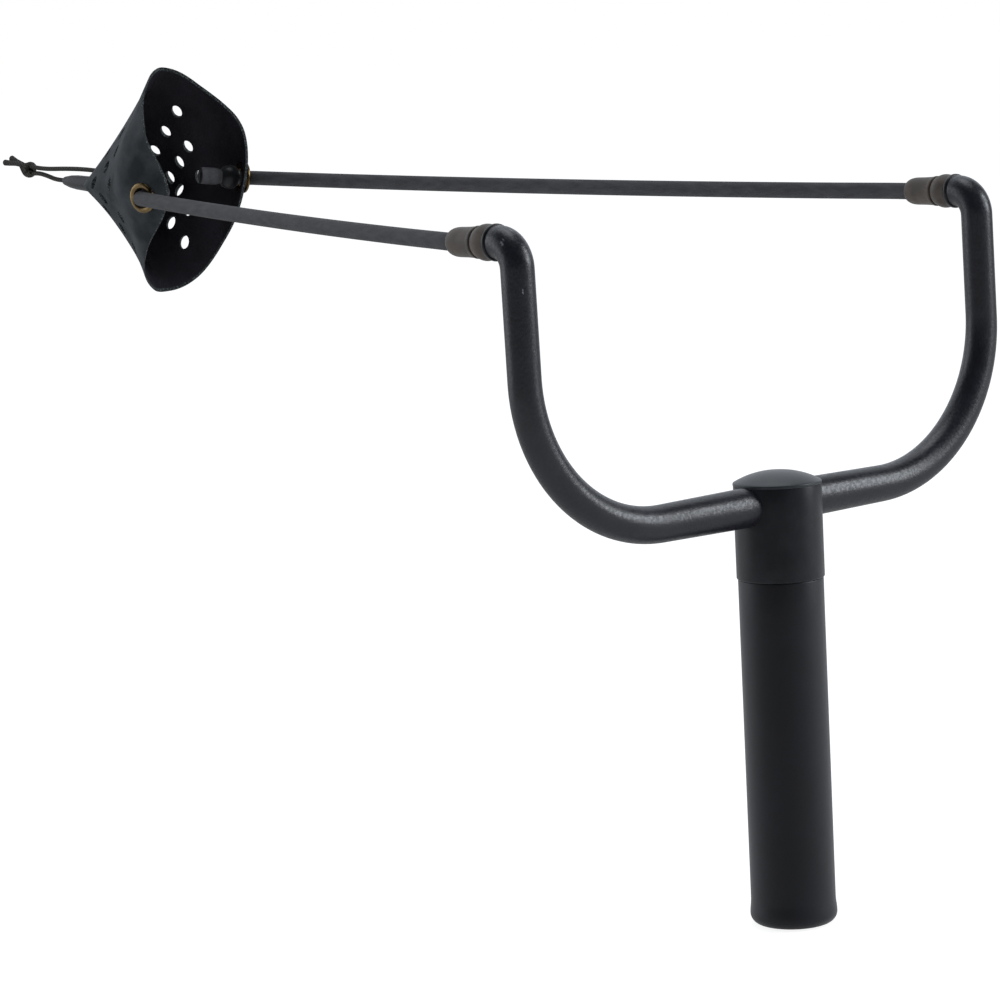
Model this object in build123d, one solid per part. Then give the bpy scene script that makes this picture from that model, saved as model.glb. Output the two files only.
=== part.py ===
from build123d import *
from math import cos, hypot, pi, radians, sin, sqrt, tan
import os

# Bait catapult for anglers: a round grip, a bent tube frame with two arms, two rubber elastics
# on swivelling tube ends and a perforated pouch with a pull cord.
# Millimetres. +Z runs up the handle, +Y is the way the bait flies, +X is the right arm.
# The origin is the centre of the grip's bottom face.

# Fits
slip = 0.05            # radial clearance of pieces that are pushed together
running = 0.06         # radial clearance of a shaft that turns
end_play = 0.3         # axial gap of a piece that turns
end_gap = 0.3          # between pieces that follow one another on one axis
snug = 0.02            # radial clearance of a thread, a saddle or a tight peg
through_clearance = 0.2  # radial, round the clamp screw

# Frame tube
tube_diameter = 10.0
tube_wall = 1.2
tube_foot_diameter = 11.5    # where the arm's bend meets the cross tube
tube_middle_diameter = 12.3  # in the head
tube_middle_reach = 14.0     # half the length of the straight middle
arm_spacing = 188.4    # between the two arms' centre lines
arm_rise = 88.3        # from the cross tube's centre line up to the tips'
arm_bend_radius = 48.4
elbow_radius = 7.6
tip_straight = 0.6     # straight tube past each elbow

# Handle
grip_diameter = 26.4
grip_length = 108.6
grip_wall = 2.9
grip_floor = 3.2
foot_flare = 0.35      # how far the foot stands out from the grip, on the radius
foot_height = 8.0
foot_corner = 2.5
grip_lip = 0.5         # chamfer round the grip's top edge
core_wall = 3.0
head_diameter = 27.2
head_under_tube_top = 0.5  # how far the cross tube stands over the head's top face
head_below_tube = 17.2
spigot_length = 26.0
pocket_diameter = 14.0
pocket_depth = 3.6
register_diameter = 21.0
register_depth = 0.8

# Cap
cap_overhang = 0.25
cap_edge = 0.8
cap_dome = 3.9         # rise of the dome over its edge
cap_thickness = 1.2
cap_lip_wall = 1.6
cap_edge_taper = 0.2   # how far the edge draws in at its foot
cap_inner_edge = 0.2   # where the dome's inside begins, over the seat

# Clamp screw
screw_diameter = 4.0
screw_head_diameter = 7.0
screw_head_height = 1.6
screw_length = 25.0
screw_point = 0.4      # chamfer
button_profile = ((1.0, 0.35), (0.72, 0.9), (0.5, 1.0))  # shares of the head's radius and height
hex_key = 2.5
hex_depth = 1.2
saddle_diameter = 9.0
saddle_over_tube = 0.8
insert_diameter = 5.6
insert_length = 8.0
insert_groove = 0.35

# Swivel and its bush, measured from the tube's end face outwards
bush_flange_diameter = 11.0
bush_flange_thickness = 1.4
bush_edge_radius = 0.6
bush_shank = 1.6
bush_nose = 2.0
bush_nose_diameter = 6.2
pivot_diameter = 4.0
clip_diameter = 5.2
clip_thickness = 0.8
clip_groove = 0.5      # depth of the groove round the pivot
pivot_end = 0.7        # pivot past the clip
pivot_chamfer = 0.3
bead_diameter = 11.1
bead_width = 2.6
bead_face_step = 0.9   # how far the bead's flat face stays inside its crown
collar_large = 9.8
collar_small = 9.3
collar_length = 3.6
groove_diameter = 7.8
groove_width = 0.9
spigot_diameter = 3.0
barb_diameter = 3.9
barb_pitch = 2.4
barb_count = 3
barb_lead = 0.6        # plain spigot before the first tooth
barb_face = 0.1
barb_point = 0.4       # chamfer
sleeve_diameter = 8.9
sleeve_length = 12.0
sleeve_rim = 0.2       # raised rim at the sleeve's inner end
sleeve_rim_width = 1.0
sleeve_shoulder = 4.1  # length of the rounded shoulder
sleeve_mouth = 6.5
mouth_slope = 0.35

# Elastics
elastic_diameter = 5.4
elastic_bore = 2.2
elastic_swell = 0.45   # how much the rubber stands out over the barb, on the radius
elastic_insert = 8.1   # length pushed over the barb
swell_taper = 0.9
sleeve_exit = 2.2      # from the sleeve's mouth to the bend
exit_bend_radius = 15.0
eyelet_bend_radius = 5.0
eyelet_bend_offset = 2.6
tail_length = 16.5     # from the eyelet to the elastic's end inside the pouch
plug_length = 5.5
plug_diameter = 3.2
plug_head = 0.6        # how far the plug's head stands out, and its thickness
plug_taper = 1.0
bead_bore_diameter = 5.7
stopper_diameter = 9.0
stopper_flat = 0.73    # height of the cap that is ground off the bead

# Pouch, in its own frame: the apex of the cone is its origin and Y runs out of its mouth
apex_behind = 387.0    # from the arms back to the apex
apex_above_tips = 12.7
pouch_tilt = -3.2      # degrees, mouth down
fold_half_angle = 40.0
sheet = 1.6
fold_top = 70.6        # from the apex to the top corner, along the fold
fold_bottom = 66.0
pouch_depth = 84.7     # from the apex to the flaps' tips
flap_height = 2.8      # of the flaps' tips over the pouch's axis
shoulder = (72.8, 28.2)
corner_radius = 5.0
bottom_corner_radius = 7.0
shoulder_radius = 16.0
flap_radius = 6.0
nose_radius = 0.5
fold_margin = 0.2      # the outline's clearance from the folds
nose_cut = 2.6         # the cone is cut off here for the cord
cavity_start = 5.2
section_count = 9      # drawn sections between the nose and the flaps
section_spread = 1.4   # over 1 draws them closer together near the nose
section_step = 15      # degrees between the points of a section
section_margin = 3.3   # the last section's distance past the flaps
probe = 0.5            # step over which a slope of the wall is taken
curve_halvings = 26    # steps of the search along the width curve
width_stations = ((0, 0), (12, 10.5), (31, 18.6), (48, 21.3), (64, 26.0), (76, 22.1), (90, 13.9))
top_fullness = 0.35    # how much wider the pouch is above its axis than below, at the mouth
fold_bluntness = (1.2, -0.82)  # power of the wall's curve at the apex, and its change to the mouth
crease_round = 0.06    # rounding of the middle crease, as a share of the half height
vent_diameter = 4.2
vent_axis_height = 3.0
vent_pitch = (8.2, 7.2)
outer_vents = (32.2, 10.9)
inner_vents = (31.5, 0.0)
vents_in_row = 3
flap_vent = 46.9
drill_length = 9.6     # passes one wall only

# Eyelets
eyelet_at = (74.4, 1.6)
eyelet_yaw = 17.0      # degrees, turned towards the arms
eyelet_pitch = -7.0
eyelet_diameter = 11.6
eyelet_bore = 7.2
eyelet_wall = 0.45
eyelet_flange = 0.9
eyelet_edge = 0.15     # thickness of the flange's rim
eyelet_throat = 0.3    # straight bore above the sheet
eyelet_washer_thickness = 0.5

# Pull cord
cord_diameter = 1.8
cord_hole = 2.2
cord_sleeve_diameters = (3.6, 5.2)  # at the free end and at the pouch
cord_sleeve_back = -20.4
cord_sleeve_round = 0.9
knot_size = (7.6, 6.0)  # along the cord and across it
knot_round = 2.4
knot_at = (-47.6, 2.2)
tag_routes = (((0.9, 0.0, 0.6), (0.9, -5.0, 3.0), (1.4, -12.0, 4.0)),
              ((-0.9, 0.0, 0.6), (-0.9, -5.0, 1.7), (-1.4, -12.0, 2.2)))  # from the knot's centre
upper_strand = ((8.5, 4.3), (1.5, 4.45), (-9.0, 4.4), (-21.0, 3.95),
                (-32.0, 3.3), (-40.5, 3.3), (-46.0, 3.75))
lower_strand = ((-46.0, 0.75), (-40.0, 1.3), (-33.5, 0.6), (-25.0, -0.95), (1.0, -0.15), (8.5, -0.1))
knot_turn = ((-49.2, 3.45), (-49.2, 0.95))

# Places that follow from the sizes above
tube_radius = tube_diameter / 2
tube_bore = tube_radius - tube_wall
middle_radius = tube_middle_diameter / 2
cross_tube_z = grip_length + head_below_tube + middle_radius
head_top_z = cross_tube_z + middle_radius - head_under_tube_top
tip_z = cross_tube_z + arm_rise
arm_x = arm_spacing / 2
tube_end = elbow_radius + tip_straight
collar_start = bush_flange_thickness + end_play
collar_end = collar_start + bead_width + collar_length
sleeve_start = collar_end + groove_width
elastic_start = sleeve_start + end_gap
sleeve_end = sleeve_start + sleeve_length
elastic_radius = elastic_diameter / 2
swelled_radius = elastic_radius + elastic_swell
core_radius = grip_diameter / 2 - grip_wall - slip
core_bore = core_radius - core_wall
screw_top_z = cross_tube_z + middle_radius + saddle_over_tube
screw_end_z = screw_top_z - screw_length
apex = Vector(0, -apex_behind, tip_z + apex_above_tips)
width_curve = Spline(*width_stations)
pouch_frame = Plane(
    origin=apex, x_dir=(1, 0, 0), z_dir=(0, -sin(radians(pouch_tilt)), cos(radians(pouch_tilt)))
)


def turned(points, plane=Plane.XZ):
    """Revolves a closed outline of (radius, height) points about Z."""
    return revolve(plane * make_face(Polyline(*points, close=True)), Axis.Z)


def ring(outer_diameter, inner_diameter, start, length):
    """A plain ring on the Z axis."""
    lift = Pos(0, 0, start + length / 2)
    return lift * Cylinder(outer_diameter / 2, length) - lift * Cylinder(inner_diameter / 2, 2 * length)


def fold_radii(points, share=0.45):
    """The largest tangent arc for each corner of a route."""
    radii = []
    for before, here, after in zip(points, points[1:], points[2:]):
        run_in, run_out = Vector(here) - Vector(before), Vector(after) - Vector(here)
        turn = radians(run_in.get_angle(run_out))
        radii.append(share * min(run_in.length, run_out.length) / tan(turn / 2))
    return radii


# ---------------------------------------------------------------- frame and handle


def frame_tube():
    """The cross tube, two arms and two elbows: one bent tube, drawn thicker towards the head."""
    bend_end = arm_x - arm_bend_radius
    centre = (bend_end, 0, cross_tube_z + arm_bend_radius)
    half_turn = sqrt(0.5) * arm_bend_radius
    arm = FilletPolyline(
        (arm_x, -tube_end, tip_z), (arm_x, 0, tip_z), (arm_x, 0, centre[2]), radius=elbow_radius
    )
    bend = ThreePointArc(
        (arm_x, 0, centre[2]), (bend_end + half_turn, 0, centre[2] - half_turn), (bend_end, 0, cross_tube_z)
    )

    def disc(route, share, radius):
        return Plane(route @ share, z_dir=route % share) * Circle(radius)

    foot = tube_foot_diameter / 2
    taper = bend_end - tube_middle_reach
    along = Rot(0, 90, 0)
    half = sweep(disc(arm, 0, tube_radius), path=arm)
    half += sweep([disc(bend, 0, tube_radius), disc(bend, 1, foot)], path=bend, multisection=True)
    half += Pos(tube_middle_reach + taper / 2, 0, cross_tube_z) * along * Cone(middle_radius, foot, taper)
    half += Pos(tube_middle_reach / 2, 0, cross_tube_z) * along * Cylinder(middle_radius, tube_middle_reach)
    bore = sweep(disc(arm, 0, tube_bore), path=arm) + sweep(disc(bend, 0, tube_bore), path=bend)
    bore += Pos(bend_end / 2, 0, cross_tube_z) * along * Cylinder(tube_bore, bend_end)
    half -= bore
    screw_hole = Pos(0, 0, cross_tube_z) * Cylinder(screw_diameter / 2 + through_clearance, 2 * tube_diameter)
    return half + mirror(half, about=Plane.YZ) - screw_hole


def handle_core():
    """The stiff tube inside the rubber grip."""
    return ring(2 * core_radius, 2 * core_bore, grip_floor, grip_length - grip_floor)


def grip_sleeve():
    """The rubber grip: a closed sleeve with a flared, rounded foot."""
    radius = grip_diameter / 2
    foot = radius + foot_flare
    bore = core_radius + slip
    bulge = foot_corner * (1 - sqrt(0.5))
    outline = [
        Line((0, 0), (foot - foot_corner, 0)),
        ThreePointArc((foot - foot_corner, 0), (foot - bulge, bulge), (foot, foot_corner)),
        Spline((foot, foot_corner), (radius, foot_height), tangents=((0, 1), (0, 1))),
        Polyline(
            (radius, foot_height),
            (radius, grip_length - grip_lip),
            (radius - grip_lip, grip_length),
            (bore, grip_length),
            (bore, grip_floor),
            (0, grip_floor),
            (0, 0),
        ),
    ]
    return revolve(Plane.XZ * make_face(Curve() + outline), Axis.Z)


def handle_head():
    """The upper moulding: cross bore for the tube, pocket for the screw, spigot into the core."""
    radius = head_diameter / 2
    height = head_top_z - grip_length
    body = Pos(0, 0, grip_length + height / 2) * Cylinder(radius, height)
    body = chamfer(body.edges().group_by(Axis.Z)[0], grip_lip)
    body += Pos(0, 0, grip_length - spigot_length / 2) * Cylinder(core_bore - slip, spigot_length)
    body -= Pos(0, 0, cross_tube_z) * Rot(0, 90, 0) * Cylinder(middle_radius + slip, 2 * head_diameter)
    body -= Pos(0, 0, head_top_z - pocket_depth / 2) * Cylinder(pocket_diameter / 2, pocket_depth)
    body -= Pos(0, 0, head_top_z) * Cylinder(register_diameter / 2, 2 * register_depth)
    insert_top = screw_end_z + insert_length
    bottom = grip_length - spigot_length
    body -= Pos(0, 0, (bottom + insert_top) / 2) * Cylinder(insert_diameter / 2 + slip, insert_top - bottom)
    screw_hole = Cylinder(screw_diameter / 2 + through_clearance, 2 * head_below_tube)
    return body - Pos(0, 0, cross_tube_z) * screw_hole


def head_cap():
    """A thin dome with an overhanging edge, hollowed for the tube, with a lip in the head's register."""
    radius = head_diameter / 2 + cap_overhang
    lip = register_diameter / 2 - slip
    rise = cap_edge + cap_dome

    def dome(edge_radius, edge_height, top):
        middle = edge_radius / 2
        ball = (edge_radius**2 + (top - edge_height) ** 2) / (2 * (top - edge_height))
        return ThreePointArc(
            (0, top), (middle, top - ball + sqrt(ball**2 - middle**2)), (edge_radius, edge_height)
        )

    outside = dome(radius, cap_edge, rise)
    inside = dome(lip - cap_lip_wall, cap_inner_edge, rise - cap_thickness)
    outline = Curve() + [
        outside,
        Polyline(
            (radius, cap_edge),
            (radius - cap_edge_taper, 0),
            (lip, 0),
            (lip, -register_depth + slip),
            (lip - cap_lip_wall, -register_depth + slip),
            (lip - cap_lip_wall, cap_inner_edge),
        ),
        inside,
        Line((0, rise - cap_thickness), (0, rise)),
    ]
    cap = Pos(0, 0, head_top_z) * revolve(Plane.XZ * make_face(outline), Axis.Z)
    return cap - Pos(0, 0, cross_tube_z) * Rot(0, 90, 0) * Cylinder(middle_radius + slip, 2 * head_diameter)


def saddle_washer():
    """Fits the tube's back with its hollow side and carries the screw's head."""
    bottom = cross_tube_z + middle_radius / 2
    block = ring(saddle_diameter, screw_diameter + 2 * through_clearance, bottom, screw_top_z - bottom)
    tube = Rot(0, 90, 0) * Cylinder(middle_radius + snug, 2 * saddle_diameter)
    return block - Pos(0, 0, cross_tube_z) * tube


def clamp_screw():
    """A button-head screw with a hexagon socket."""
    radius = screw_head_diameter / 2
    screw = turned(
        (
            (0, -screw_length),
            (screw_diameter / 2 - screw_point, -screw_length),
            (screw_diameter / 2, -screw_length + screw_point),
            (screw_diameter / 2, 0),
            (radius, 0),
            *((radius * out, screw_head_height * up) for out, up in button_profile),
            (0, screw_head_height),
        )
    )
    hexagon = RegularPolygon(hex_key / 2, 6, major_radius=False)
    socket = Pos(0, 0, screw_head_height - hex_depth) * extrude(hexagon, hex_depth)
    return Pos(0, 0, screw_top_z) * (screw - socket)


def screw_insert():
    """The brass insert, drawn up against the shoulder in the head's spigot."""
    radius = insert_diameter / 2
    waist = radius - insert_groove
    third = insert_length / 3
    bore = screw_diameter / 2 + snug
    body = turned(
        (
            (bore, 0),
            (radius, 0),
            (radius, third),
            (waist, third),
            (waist, 2 * third),
            (radius, 2 * third),
            (radius, insert_length),
            (bore, insert_length),
        )
    )
    return Pos(0, 0, screw_end_z) * body


# ---------------------------------------------------------------- swivels and elastics


def tip_frame(side):
    """The frame at a tube's end face: Z runs out of the tube."""
    return Plane(origin=(side * arm_x, -tube_end, tip_z), x_dir=(1, 0, 0), z_dir=(0, -1, 0))


def end_bush():
    """Flanged bush in the tube's end; its thin nose reaches into the elbow."""
    bore = pivot_diameter / 2 + running
    shank = tube_bore - slip
    flange = bush_flange_diameter / 2
    nose = bush_nose_diameter / 2
    body = turned(
        (
            (bore, -bush_shank - bush_nose),
            (nose, -bush_shank - bush_nose),
            (nose, -bush_shank),
            (shank, -bush_shank),
            (shank, 0),
            (flange, 0),
            (flange, bush_flange_thickness),
            (bore, bush_flange_thickness),
        )
    )
    rims = body.edges().filter_by(GeomType.CIRCLE).filter_by(lambda edge: abs(edge.radius - flange) < snug)
    return fillet(rims, min(bush_edge_radius, bush_flange_thickness / 3))


def barb(clearance=0.0):
    """The saw-toothed spigot under the elastic."""
    thin = spigot_diameter / 2 + clearance
    thick = barb_diameter / 2 + clearance
    outline = [(0, collar_end), (thin, collar_end)]
    height = elastic_start + barb_lead
    for _ in range(barb_count):
        outline += [(thin, height), (thick, height + barb_face), (thin, height + barb_pitch - barb_face)]
        height += barb_pitch
    outline += [(thin, height), (thin - barb_point, height + barb_point), (0, height + barb_point)]
    return turned(outline)


def swivel():
    """Pivot pin, beaded collar and barb, turned in one piece."""
    pivot = pivot_diameter / 2
    clip_start = -bush_shank - bush_nose - end_play
    clip_end = clip_start - clip_thickness - 2 * slip
    bead = bead_diameter / 2
    bead_end = collar_start + bead_width
    outline = Curve() + [
        Polyline(
            (0, sleeve_start),
            (0, clip_end - pivot_end),
            (pivot - pivot_chamfer, clip_end - pivot_end),
            (pivot, clip_end - pivot_end + pivot_chamfer),
            (pivot, clip_end),
            (pivot - clip_groove, clip_end),
            (pivot - clip_groove, clip_start),
            (pivot, clip_start),
            (pivot, collar_start),
            (bead - bead_face_step, collar_start),
        ),
        ThreePointArc(
            (bead - bead_face_step, collar_start),
            (bead, collar_start + bead_width / 2),
            (collar_large / 2, bead_end),
        ),
        Polyline(
            (collar_large / 2, bead_end),
            (collar_small / 2, collar_end),
            (groove_diameter / 2, collar_end),
            (groove_diameter / 2, sleeve_start),
            (0, sleeve_start),
        ),
    ]
    return revolve(Plane.XZ * make_face(outline), Axis.Z) + barb()


def retaining_clip():
    """Snaps into the pivot's groove behind the bush."""
    start = -bush_shank - bush_nose - end_play - slip - clip_thickness
    bore = pivot_diameter - 2 * clip_groove + 2 * slip
    return ring(clip_diameter, bore, start, clip_thickness)


def elastic_sleeve():
    """Locking sleeve: raised rim at its inner end, rounded shoulder at its mouth."""
    radius = sleeve_diameter / 2
    rim = radius + sleeve_rim
    mouth = sleeve_mouth / 2
    shoulder_start = sleeve_end - sleeve_shoulder
    wide = swelled_radius + slip
    narrow = elastic_radius + 2 * slip
    neck = elastic_start + elastic_insert + end_gap
    outline = Curve() + [
        Polyline(
            (wide, sleeve_start),
            (rim, sleeve_start),
            (rim, sleeve_start + sleeve_rim_width),
            (radius, sleeve_start + sleeve_rim_width + sleeve_rim),
            (radius, shoulder_start),
        ),
        Spline((radius, shoulder_start), (mouth, sleeve_end), tangents=((0, 1), (-1, mouth_slope))),
        Polyline(
            (mouth, sleeve_end),
            (narrow, sleeve_end),
            (narrow, neck + swell_taper),
            (wide, neck),
            (wide, sleeve_start),
        ),
    ]
    return revolve(Plane.XZ * make_face(outline), Axis.Z)


def eyelet_frame(side):
    """The frame at an eyelet's centre on the pouch wall: Z points out of the pouch."""
    yaw, pitch = radians(eyelet_yaw), radians(eyelet_pitch)
    outwards = Vector(side * cos(yaw) * cos(pitch), sin(yaw) * cos(pitch), sin(pitch))
    depth, height = eyelet_at
    wall_middle = half_width(depth, height) - sheet / 2
    place = pouch_frame.from_local_coords(Vector(side * wall_middle, depth, height))
    return Plane(origin=place, x_dir=(0, 0, 1), z_dir=outwards)


def elastic(side):
    """From the barb straight out of the sleeve, along to the eyelet and through it into the pouch."""
    tip = tip_frame(side)
    eye = eyelet_frame(side)
    neck = elastic_start + elastic_insert
    swelled = turned(
        (
            (elastic_bore / 2, elastic_start),
            (swelled_radius, elastic_start),
            (swelled_radius, neck),
            (elastic_radius, neck + swell_taper),
            (elastic_bore / 2, neck + swell_taper),
        )
    ) - barb(slip)
    tail_start = tail_length - plug_length - plug_taper
    tail_swell = plug_diameter / 2 - elastic_bore / 2
    route = FilletPolyline(
        tip.from_local_coords(Vector(0, 0, neck + swell_taper)),
        tip.from_local_coords(Vector(0, 0, sleeve_end + sleeve_exit)),
        eye.from_local_coords(Vector(0, 0, eyelet_bend_offset)),
        eye.from_local_coords(Vector(0, 0, -tail_start)),
        radius=[exit_bend_radius, eyelet_bend_radius],
    )
    section = Circle(elastic_radius) - Circle(elastic_bore / 2)
    run = sweep(Plane(route @ 0, z_dir=route % 0) * section, path=route)
    tail = turned(
        (
            (elastic_bore / 2, -tail_start),
            (elastic_radius, -tail_start),
            (elastic_radius + tail_swell, -tail_start - plug_taper),
            (elastic_radius + tail_swell, -tail_length),
            (plug_diameter / 2 + snug, -tail_length),
            (plug_diameter / 2 + snug, -tail_start - plug_taper),
        )
    )
    return tip.location * swelled + run + eye.location * tail


def tail_plug():
    """The peg that swells the elastic's end, with a small head."""
    radius = plug_diameter / 2
    end = -tail_length
    return turned(
        (
            (0, end - plug_head),
            (radius + plug_head, end - plug_head),
            (radius + plug_head, end),
            (radius, end),
            (radius, end + plug_length - plug_taper),
            (radius - plug_taper / 2, end + plug_length),
            (0, end + plug_length),
        )
    )


def stopper_bead():
    """A drilled ball, flattened a little where it bears on the eyelet's washer."""
    seat = -sheet / 2 - eyelet_washer_thickness - slip
    centre = seat - stopper_diameter / 2 + stopper_flat
    ball = Pos(0, 0, centre) * Sphere(stopper_diameter / 2)
    ball -= Pos(0, 0, seat + stopper_diameter / 2) * Cylinder(stopper_diameter, stopper_diameter)
    return ball - Pos(0, 0, centre) * Cylinder(bead_bore_diameter / 2, 2 * stopper_diameter)


def eyelet():
    """Domed flange and barrel, in one piece."""
    bore = eyelet_bore / 2
    barrel = bore + eyelet_wall
    edge = eyelet_diameter / 2
    face = sheet / 2
    crown = (bore + edge) / 2
    inner_end = -face - eyelet_washer_thickness
    outline = Curve() + [
        Line((bore, inner_end), (bore, face + eyelet_throat)),
        ThreePointArc(
            (bore, face + eyelet_throat), (crown, face + eyelet_flange), (edge, face + eyelet_edge)
        ),
        Polyline(
            (edge, face + eyelet_edge), (edge, face), (barrel, face), (barrel, inner_end), (bore, inner_end)
        ),
    ]
    return revolve(Plane.XZ * make_face(outline), Axis.Z)


def eyelet_washer():
    """Clinched on the barrel's end inside the pouch."""
    bottom = -sheet / 2 - eyelet_washer_thickness
    return ring(eyelet_diameter, eyelet_bore + 2 * eyelet_wall + 2 * slip, bottom, eyelet_washer_thickness)


# ---------------------------------------------------------------- pouch


def axis_half_width(depth):
    """Reads the pouch's width curve at one distance from the apex."""
    low, high = 0.0, 1.0
    for _ in range(curve_halvings):
        middle = (low + high) / 2
        low, high = (middle, high) if (width_curve @ middle).X < depth else (low, middle)
    return (width_curve @ low).Y


def half_width(depth, height, wall=0.0):
    """Half the pouch's width at a point of its side view, less a wall."""
    limit = depth * tan(radians(fold_half_angle)) - wall / cos(radians(fold_half_angle))
    share = (hypot(height / limit, crease_round) - crease_round) / (hypot(1, crease_round) - crease_round)
    along = depth / pouch_depth
    bluntness = fold_bluntness[0] + fold_bluntness[1] * along
    slope = (axis_half_width(depth + probe) - axis_half_width(depth - probe)) / (2 * probe)
    width = axis_half_width(depth) - wall * hypot(1, slope)
    fullness = 1 + top_fullness * along * height / limit
    return width * (1 - min(share, 1.0)) ** bluntness * fullness


def pouch_section(depth, wall=0.0):
    """The pouch's closed outline at one distance from the apex."""
    limit = depth * tan(radians(fold_half_angle)) - wall / cos(radians(fold_half_angle))
    heights = [limit * cos(radians(angle)) for angle in range(0, 181, section_step)]
    right = [Vector(half_width(depth, height, wall), depth, height) for height in heights]
    left = [Vector(-point.X, point.Y, point.Z) for point in reversed(right[1:-1])]
    return Face(Wire(Spline(*right, *left, periodic=True)))


def pouch_outline():
    """The rim and the folds, seen from the side."""
    fold = radians(fold_half_angle)
    corners = [
        (-2 * nose_radius, 0.0),
        (fold_top * cos(fold), fold_top * sin(fold) + fold_margin),
        shoulder,
        (pouch_depth, flap_height),
        (fold_bottom * cos(fold), -fold_bottom * sin(fold) - fold_margin),
    ]
    radii = [nose_radius, corner_radius, shoulder_radius, flap_radius, bottom_corner_radius]
    points = [Vector(0, depth, height) for depth, height in corners]
    return make_face(FilletPolyline(*points, radius=radii, close=True))


def vents():
    """Centres of the drain holes in one side view: rows that run along the folds."""
    places = [(flap_vent, 0.0)]
    for start, rise in (outer_vents, inner_vents):
        for step in range(vents_in_row):
            depth, height = start + step * vent_pitch[0], rise + step * vent_pitch[1]
            places += [(depth, height), (depth, -height)] if height else [(depth, 0.0)]
    return [(depth, vent_axis_height + height) for depth, height in places]


def vent_drill(depth, height, side):
    """A drill square to the pouch wall."""
    along = (half_width(depth + probe, height) - half_width(depth - probe, height)) / (2 * probe)
    across = (half_width(depth, height + probe) - half_width(depth, height - probe)) / (2 * probe)
    place = Vector(side * half_width(depth, height), depth, height)
    drill = Plane(origin=place, z_dir=Vector(side, -along, -across))
    return drill.location * Cylinder(vent_diameter / 2, drill_length)


def section_depths(start):
    """Distances from the apex of the drawn sections."""
    reach = pouch_depth + section_margin - start
    return [start + reach * (step / section_count) ** section_spread for step in range(section_count + 1)]


def pouch_sheet():
    """A cone of sheet with two straight folds, two rounded flaps and rows of vents."""
    shell = loft([pouch_section(depth) for depth in section_depths(nose_cut)])
    shell -= loft([pouch_section(depth, sheet) for depth in section_depths(cavity_start)])
    shell &= extrude(pouch_outline(), amount=2 * pouch_depth, both=True)
    for depth, height in vents():
        for side in (-1, 1):
            shell -= vent_drill(depth, height, side)
    for height in (upper_strand[0][1], lower_strand[-1][1]):
        shell -= Pos(0, 0, height) * Rot(90, 0, 0) * Cylinder(cord_hole / 2, 4 * cavity_start)
    shell = pouch_frame.location * shell
    for side in (-1, 1):
        shell -= eyelet_frame(side).location * eyelet_seat()
    return shell


def eyelet_seat():
    """What an eyelet, its washer and its bead press flat in the wall."""
    barrel = Cylinder(eyelet_bore / 2 + eyelet_wall + slip, drill_length)
    relief = 4 * sheet
    outside = Pos(0, 0, sheet / 2 + relief / 2) * Cylinder(eyelet_diameter / 2 + slip, relief)
    inside = Pos(0, 0, -sheet / 2 - relief) * Cylinder(eyelet_diameter / 2 + slip, 2 * relief)
    return barrel + outside + inside


# ---------------------------------------------------------------- pull cord


def cord_tube(points, radii):
    """A round cord along straight runs and tangent arcs."""
    route = FilletPolyline(*points, radius=radii)
    tube = sweep(Plane(route @ 0, z_dir=route % 0) * Circle(cord_diameter / 2), path=route)
    return tube, route


def cord_route():
    """Out of the upper hole, round in the knot and back to the hole at the apex."""
    return [Vector(0, depth, height) for depth, height in (*upper_strand, *knot_turn, *lower_strand)]


def pull_cord():
    """The loop behind the pouch."""
    points = cord_route()
    radii = fold_radii(points)
    tube, route = cord_tube(points, radii)
    print("pull cord radii", [round(radius, 1) for radius in radii], "length", round(route.length, 1))
    print("volume over section times length", tube.volume / (pi * (cord_diameter / 2) ** 2 * route.length))
    return tube


def cord_bight():
    """The bend of the same cord inside the pouch, between its two holes."""
    top, bottom = upper_strand[0], lower_strand[-1]
    reach = (top[1] - bottom[1]) / 2
    turn = top[0] + reach + end_gap
    points = [
        Vector(0, top[0] + slip, top[1]),
        Vector(0, turn, top[1]),
        Vector(0, turn, bottom[1]),
        Vector(0, bottom[0] + slip, bottom[1]),
    ]
    return cord_tube(points, [reach - slip] * 2)[0]


def pull_knot():
    """The overhand knot with its two tag ends."""
    along, across = knot_size
    body = Rot(90, 0, 0) * Cylinder(across / 2, along)
    knot = Pos(0, *knot_at) * fillet(body.edges().filter_by(GeomType.CIRCLE), knot_round)
    for tag in tag_routes:
        points = [Vector(0, *knot_at) + Vector(*point) for point in tag]
        knot += cord_tube(points, fold_radii(points))[0]
    return knot


def cord_sleeve():
    """Short tube that protects the lower strand next to the pouch."""
    run_start, run_end = lower_strand[3], lower_strand[4]
    slope = (run_end[1] - run_start[1]) / (run_end[0] - run_start[0])
    length = nose_cut - 2 * slip - cord_sleeve_back
    middle = cord_sleeve_back + length / 2
    height = run_start[1] + slope * (middle - run_start[0])
    place = Plane(origin=(0, middle, height), z_dir=(0, 1, slope))
    bore = cord_diameter / 2 + 2 * slip
    free_end, pouch_end = (diameter / 2 for diameter in cord_sleeve_diameters)
    body = Cone(free_end, pouch_end, length)
    body = fillet(body.edges().group_by(Axis.Z)[0], min(cord_sleeve_round, free_end - bore - slip))
    return place.location * (body - Cylinder(bore, 2 * length))


# ---------------------------------------------------------------- all pieces


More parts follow.
